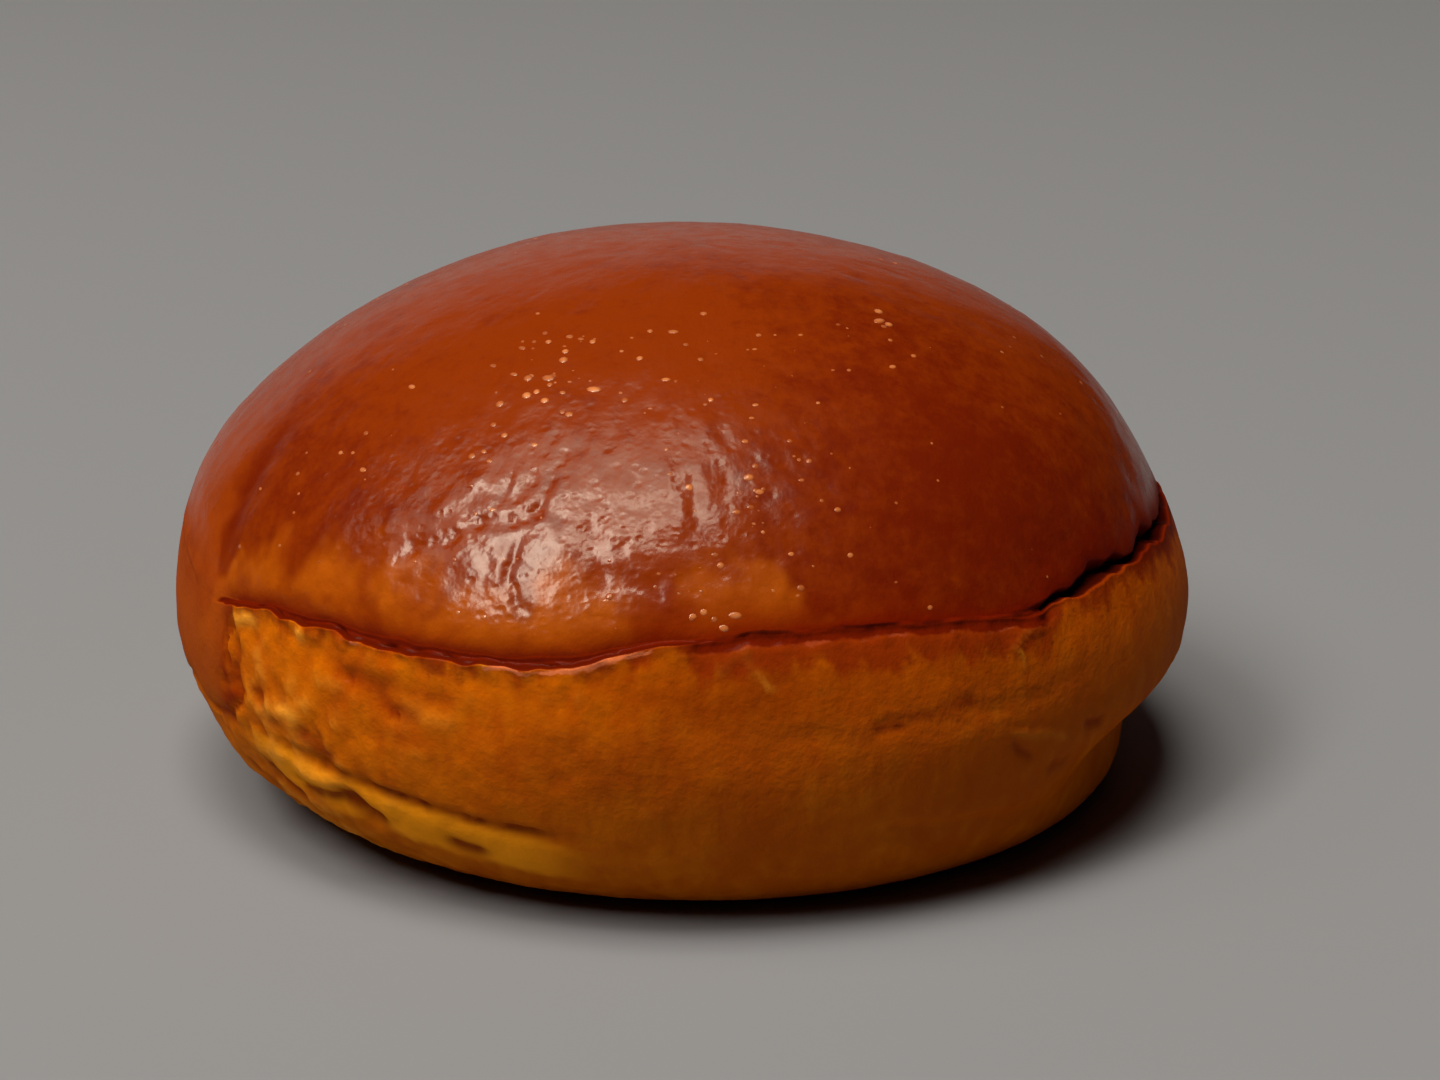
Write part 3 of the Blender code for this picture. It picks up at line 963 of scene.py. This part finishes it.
class CrustNodes(Nodes):
    """The crust's nodes, with the noises that its parts share."""

    def __init__(self):
        super().__init__("crust")
        self.here = self.place()
        self.mottle = self.noise(self.here, 2.4, 3, 0.6)
        fine = self.noise(self.here, 0.8, 3, 0.6)
        self.ragged = self.math("MULTIPLY_ADD", fine, 1.6, -0.8)
        self.mottled = self.math("ADD", self.mottle, -0.5)
        self.grainy = self.math("MULTIPLY_ADD", fine, 0.6, -0.3)

    def times(self, a, b):
        return self.math("MULTIPLY", a, b)

    def edge(self, name, soft):
        """A ragged edge where the mask, a depth in mm, crosses 0, with this softness on either side."""
        return self.range(self.math("ADD", self.mask(name), self.ragged), -soft, soft)


def crown_colour(n):
    """Orange brown, redder in patches; golden rim, burnt spots, valley stripe, painted rim shade, healed
    end's paler brown.
    """
    brown = n.math("ADD", n.math("MULTIPLY_ADD", n.mottled, 1.3, n.mask("brown")), n.grainy)
    return n.layers(
        n.mix(n.range(brown, 0.0, 1.0), ORANGE_BROWN, RED_BROWN),
        (n.times(n.edge("gold_edge", 2.6), n.range(n.mottle, 0.3, 0.7, 0.62, 0.92)), GOLDEN),
        # Burnt patches, and the darker stripe along the valley
        (n.times(n.mask("scorch_and_valley_stripe"), 0.55), SCORCHED),
        # The crown's lower edge: browner, partly painted shade
        (n.mask("rim"), RIM_RED_AND_SHADE),
        (n.times(n.mask("healed"), n.range(n.mottle, 0.3, 0.7, 0.6, 1.1)), HEALED_BROWN),
    )


def plain_flank_colour(n):
    """Ochre to tan and rust with painted shade, the yellow band, pale crumbs (partly painted highlight) and
    browned torn crust.
    """
    tan = n.math("ADD", n.math("MULTIPLY_ADD", n.mottled, 0.7, n.mask("tan")), n.times(n.grainy, 0.5))
    tan = n.math("MULTIPLY_ADD", n.mask("streaks"), -0.25, tan)
    return n.layers(
        n.mix(n.range(tan, -0.2, 1.0), OCHRE, TAN),
        (n.range(tan, 0.9, 1.6, 0, 0.7), RUST),
        # Painted shade on the flank's middle
        (n.math("MULTIPLY_ADD", n.mottled, n.mask("painted_shade"), n.mask("painted_shade")), PAINTED_SHADE_BROWN),
        (n.times(n.mask("band"), 0.95), TORN_YELLOW),
        # Pale crumb, partly a painted highlight
        (n.mask("pale"), PALE_CRUMB_AND_HIGHLIGHT),
        (n.times(n.edge("torn_edge", 1.3), 0.8), TORN_BROWN_AND_SHADE),
        # Painted shade in grooves and hollows
        (n.times(n.mask("sunk"), 0.9), TORN_BROWN_AND_SHADE),
        # Painted shadow on the flank's edge under the open break
        (n.mask("shaded_edge"), TORN_DARK_AND_SHADE),
    )


def flank_colour(n):
    """The flank's colour: dark torn skin and painted shade under the shut break, its frayed edge, the pale
    lip.
    """
    drop, torn, lipped = n.mask("drop"), n.mask("torn"), n.mask("lipped")
    hanging = n.math("MULTIPLY_ADD", n.noise(n.here, 3.5, 3, 0.6), -1.8, drop)
    frayed = n.range(n.math("ABSOLUTE", hanging), 0.05, 0.2, 1, 0)
    frayed = n.times(frayed, n.range(n.noise(n.place((1, 1, 4)), 2.2, 2), 0.5, 0.62, 0, 0.6))
    lip = n.math("MULTIPLY_ADD", n.noise(n.here, 2.2, 3, 0.6), -1.0, n.math("ADD", drop, 0.3))
    lip = n.range(n.math("ABSOLUTE", lip), 0.05, n.math("MULTIPLY_ADD", lipped, 0.32, 0.06), 1, 0)
    broken = n.range(n.math("ADD", n.noise(n.here, 1.6, 2), lipped), 0.8, 1.05, 0, 0.8)
    return n.layers(
        plain_flank_colour(n),
        # Dark torn skin right under the crown's edge, partly painted shade where the edge hangs over it
        (n.times(n.range(hanging, -0.25, 0.15, 1, 0), torn), TORN_DARK_AND_SHADE),
        # The frayed edge's pink, partly a painted highlight
        (n.times(frayed, torn), FRAYED_PINK_AND_HIGHLIGHT),
        # The pale lip, partly a painted highlight
        (n.times(n.times(lip, broken), n.range(lipped, 0, 0.3)), PALE_LIP_AND_HIGHLIGHT),
    )


def crust_relief(n):
    """The crust's finest relief, for the glaze and, with crumb and grain added, for the crust under it."""
    wrinkled = n.range(n.mask("wrinkled"), 0, 1, 0.35, 1)
    leather = n.bump(n.times(n.noise(n.here, 1.3, 2, 0.5), wrinkled), 0.09)
    pores = n.range(n.cells(n.place((1.3, 1.3, 1)), 1.0), 0.05, 0.45)
    glaze = n.bump(n.times(pores, wrinkled), 0.035, leather)
    crumb = n.times(n.noise(n.here, 1.3, 3, 0.6), n.range(n.mask("crown"), 0, 1, 1, 0))
    crust = n.bump(n.noise(n.here, 0.45, 3, 0.6), 0.05, n.bump(crumb, 0.10, glaze))
    return glaze, crust


def crust_material():
    """Egg-glazed crown, fibrous break and matte flank, mixed by the masks."""
    n = CrustNodes()
    # The cleft is dark brown with painted shade, with painted shadow on its lower wall
    cleft = n.mix(n.mask("lower_wall_shade"), CLEFT_BROWN_AND_SHADE, CLEFT_PAINTED_SHADOW)
    skin = n.mix(n.mask("crown"), flank_colour(n), crown_colour(n))
    n.give("Base Color", n.mix(n.range(n.mask("cleft"), 0.0, 0.22, 0, 0.98), skin, cleft))
    n.give("Roughness", 0.7)
    n.give("Specular IOR Level", 0.0)
    glazed = n.range(n.noise(n.here, 1.6, 3, 0.65), 0.36, 0.64, 0.7, 1.0)
    n.give("Coat Weight", n.times(n.range(n.mask("gloss"), 0, 1, 0.06, 0.9), glazed))
    n.give("Coat Roughness", 0.225)
    n.give("Coat IOR", 1.5)
    glaze_relief, relief = crust_relief(n)
    n.give("Normal", relief)
    n.give("Coat Normal", glaze_relief)
    return n.material


def blister_material():
    """Thin glaze skin, browner at the rim of each blister and paler on its top, partly a painted highlight.
    """
    n = Nodes("blister")
    n.give("Base Color", n.mix(n.mask("pale"), ORANGE_BROWN, BLISTER_PALE_AND_HIGHLIGHT))
    n.give("Roughness", 0.5)
    n.give("Specular IOR Level", 0.1)
    n.give("Coat Weight", 1.0)
    n.give("Coat Roughness", 0.1)
    return n.material


def floor_material():
    """Plain matte grey."""
    n = Nodes("floor")
    n.give("Base Color", FLOOR_COLOUR)
    n.give("Roughness", 0.9)
    n.give("Specular IOR Level", 0.1)
    return n.material


# ---------------- pieces


def middle_of(points):
    """The middle of the points' box, at floor level: the shift that centres the bun as the CAD solid is."""
    flat = points.reshape(-1, 3)
    return (flat.min(axis=0) + flat.max(axis=0)) / 2 * (1, 1, 0)


def link(obj):
    """Puts the object into the scene."""
    bpy.context.scene.collection.objects.link(obj)
    return obj


def make_bun():
    """The bun's skin, and the shift that centres it."""
    azimuth = skin_azimuths()
    turn = ring_turns(azimuth)
    points, masks = surface(np.broadcast_to(azimuth, turn.shape), turn)
    points[-1, :, 2] = 0
    shift = middle_of(points)
    underside = points[-1] * np.linspace(1, 0, FOOT_RINGS + 2)[1:-1, None, None]
    rings = np.concatenate([points, underside]) - shift
    top = rings[0].mean(axis=0) + (0, 0, 0.02 * MM)
    bottom = rings[-1].mean(axis=0)
    mesh = grid_mesh("bun_skin", rings, top, bottom)
    for name, values in masks.items():
        below = np.repeat(values[-1:], FOOT_RINGS, axis=0)
        ends = [values[0].mean(), values[-1].mean()]
        add_mask(mesh, name, np.concatenate([np.concatenate([values, below]).ravel(), ends]))
    mesh.materials.append(crust_material())
    bun = link(bpy.data.objects.new("bun_skin", mesh))
    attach(bun, "root")
    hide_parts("bun")
    return shift


# ---------------- blisters

# Clusters of blisters: azimuth and height in mm of the middle, their spread, how many, and their radius in mm
BLISTER_CLUSTERS = (
    (-33, 49.8, 7, 1, 18, 0.24),
    (-27, 48.6, 6, 1.2, 14, 0.3),
    (-20, 46.8, 6, 1.5, 18, 0.3),
    (-26, 43, 6, 1.5, 10, 0.26),
    (-40, 43, 9, 3, 14, 0.2),
    (9, 47, 12, 4, 46, 0.2),
    (10, 39.8, 3, 1.5, 10, 0.26),
    (14, 37, 9, 4, 34, 0.2),
    (0, 32.5, 7, 1.6, 20, 0.24),
    (28, 46, 16, 4, 24, 0.17),
    (-15, 37, 14, 4, 50, 0.18),
    (-48, 33, 9, 4, 14, 0.17),
    (40, 36, 16, 7, 26, 0.15),
    (110, 44, 35, 5, 60, 0.2),
    (185, 42, 38, 6, 90, 0.21),
    (250, 44, 30, 5, 60, 0.2),
    (8, 49, 9, 1.3, 18, 0.28),
    (48, 49, 5, 1, 12, 0.3),
)
BLISTER_SIDES = 8
BLISTER_RINGS = 3
BLISTER_RISE = 0.3
BLISTER_SINK = 0.06 * MM
BLISTER_LOWEST = 30 * MM
BLISTER_HIGHEST = 52 * MM
BLISTER_PALEST = 0.42 * MM


def on_skin(azimuth, height):
    """Points of the fine skin, with the outward, rightward and upward directions there."""
    step = 0.25
    turn = turn_at(azimuth, height)
    here = surface(azimuth, turn)[0]
    right = surface(azimuth + step, turn)[0] - surface(azimuth - step, turn)[0]
    upward = surface(azimuth, turn - step)[0] - surface(azimuth, turn + step)[0]
    right /= np.linalg.norm(right, axis=-1, keepdims=True)
    upward /= np.linalg.norm(upward, axis=-1, keepdims=True)
    out = np.cross(right, upward)
    return here, out / np.linalg.norm(out, axis=-1, keepdims=True), right, upward


def dome_faces(rings, sides):
    """Faces of a dome made of rings of points, closed by one point below and one on top."""
    faces = []
    bottom, top = rings * sides, rings * sides + 1
    for corner in range(sides):
        after = (corner + 1) % sides
        faces.append([bottom, after, corner])
        for low in range(0, (rings - 1) * sides, sides):
            faces.append([low + corner, low + after, low + sides + after, low + sides + corner])
        faces.append([bottom - sides + corner, bottom - sides + after, top])
    return faces


def make_blisters(shift):
    """Tiny bubbles in the glaze, each a low dome sunk a little into the skin."""
    random = np.random.default_rng(5)
    rows = []
    for azimuth, height, wide, tall, count, size in BLISTER_CLUSTERS:
        azimuths = azimuth + wide * random.normal(size=count)
        heights = (height + tall * random.normal(size=count)) * MM
        sizes = size * MM * np.exp(np.clip(0.4 * random.normal(size=count), -0.8, 0.5))
        rows.append(np.stack([azimuths, np.clip(heights, BLISTER_LOWEST, BLISTER_HIGHEST), sizes], axis=1))
    azimuth, height, size = np.concatenate(rows).T
    count = len(size)
    here, out, right, upward = on_skin(azimuth, height)
    wide = size * (1 + 0.8 * random.random(count) ** 2)
    tone = np.clip(size / BLISTER_PALEST, 0.1, 1) * (0.3 + 0.7 * random.random(count))

    angle = 2 * math.pi * np.arange(BLISTER_SIDES) / BLISTER_SIDES
    tilt = 0.5 * math.pi * np.arange(BLISTER_RINGS) / BLISTER_RINGS
    across = np.cos(angle)[:, None] * (right * wide[:, None])[:, None]
    across = across + np.sin(angle)[:, None] * (upward * size[:, None])[:, None]
    spread = np.cos(tilt)[:, None, None] * across[:, None]
    lift = BLISTER_RISE * size[:, None] * np.sin(tilt) - BLISTER_SINK
    rings = here[:, None, None] + spread + (out[:, None] * lift[..., None])[:, :, None]
    bottoms = here - out * 2 * BLISTER_SINK
    tops = here + out * (BLISTER_RISE * size - BLISTER_SINK)[:, None]
    points = np.concatenate([rings.reshape(count, -1, 3), bottoms[:, None], tops[:, None]], axis=1) - shift
    # Each blister is paler towards its top, partly a painted highlight
    pale = np.concatenate([np.repeat(np.sin(tilt) ** 1.6, BLISTER_SIDES), [0, 1]]) * tone[:, None]

    dome = dome_faces(BLISTER_RINGS, BLISTER_SIDES)
    faces = []
    for start in range(0, count * points.shape[1], points.shape[1]):
        faces.extend([[start + corner for corner in face] for face in dome])
    mesh = bpy.data.meshes.new("blisters")
    mesh.from_pydata(points.reshape(-1, 3).tolist(), [], faces)
    mesh.shade_smooth()
    add_mask(mesh, "pale", pale)
    mesh.materials.append(blister_material())
    blisters = link(bpy.data.objects.new("blisters", mesh))
    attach(blisters, "root")


# ---------------- studio


def make_floor():
    mesh = bpy.data.meshes.new("floor")
    corners = [(x * FLOOR_REACH, y * FLOOR_REACH, 0) for x, y in ((-1, -1), (1, -1), (1, 1), (-1, 1))]
    mesh.from_pydata(corners, [], [(0, 1, 2, 3)])
    mesh.materials.append(floor_material())
    floor = link(bpy.data.objects.new("floor", mesh))


def make_light(name, middle, size, turn, radiance, colour):
    """A level rectangular soft light overhead, with the radiance of its face."""
    width, depth = (PANEL_HEIGHT * share for share in size)
    data = bpy.data.lights.new(name, "AREA")
    data.shape = "RECTANGLE"
    data.size = width
    data.size_y = depth
    data.energy = radiance * math.pi * width * depth
    data.color = colour
    light = link(bpy.data.objects.new(name, data))
    light.location = Vector((*middle, 1)) * PANEL_HEIGHT
    light.rotation_euler.z = math.radians(turn)


def make_camera():
    data = bpy.data.cameras.new("camera")
    data.lens = CAMERA_LENS
    data.sensor_width = CAMERA_SENSOR
    data.clip_start, data.clip_end = CAMERA_CLIP
    camera = link(bpy.data.objects.new("camera", data))
    tilt = math.radians(CAMERA_ELEVATION)
    camera.location = CAMERA_AIM + Vector((0, -math.cos(tilt), math.sin(tilt))) * CAMERA_DISTANCE
    camera.rotation_euler = (CAMERA_AIM - camera.location).to_track_quat("-Z", "Y").to_euler()
    bpy.context.scene.camera = camera


def make_world():
    """Nearly dark, with a grey glow low at the back left."""
    world = bpy.data.worlds.new("studio")
    world.use_nodes = True
    tree = world.node_tree
    coordinates = tree.nodes.new("ShaderNodeTexCoord")
    towards = tree.nodes.new("ShaderNodeVectorMath")
    towards.operation = "DOT_PRODUCT"
    towards.inputs[1].default_value = Vector(GLOW_DIRECTION).normalized()
    ramp = tree.nodes.new("ShaderNodeValToRGB")
    tree.links.new(coordinates.outputs["Generated"], towards.inputs[0])
    tree.links.new(towards.outputs["Value"], ramp.inputs[0])
    ramp.color_ramp.interpolation = "EASE"
    dark, bright = ramp.color_ramp.elements
    dark.position = GLOW_START
    dark.color = (AMBIENT, AMBIENT, AMBIENT, 1)
    bright.color = (*GLOW, 1)
    tree.links.new(ramp.outputs[0], tree.nodes["Background"].inputs[0])
    bpy.context.scene.world = world


shift = make_bun()
make_blisters(shift)
make_floor()
for panel in PANELS:
    make_light(*panel)
make_camera()
make_world()
bpy.context.scene.view_settings.view_transform = "Standard"
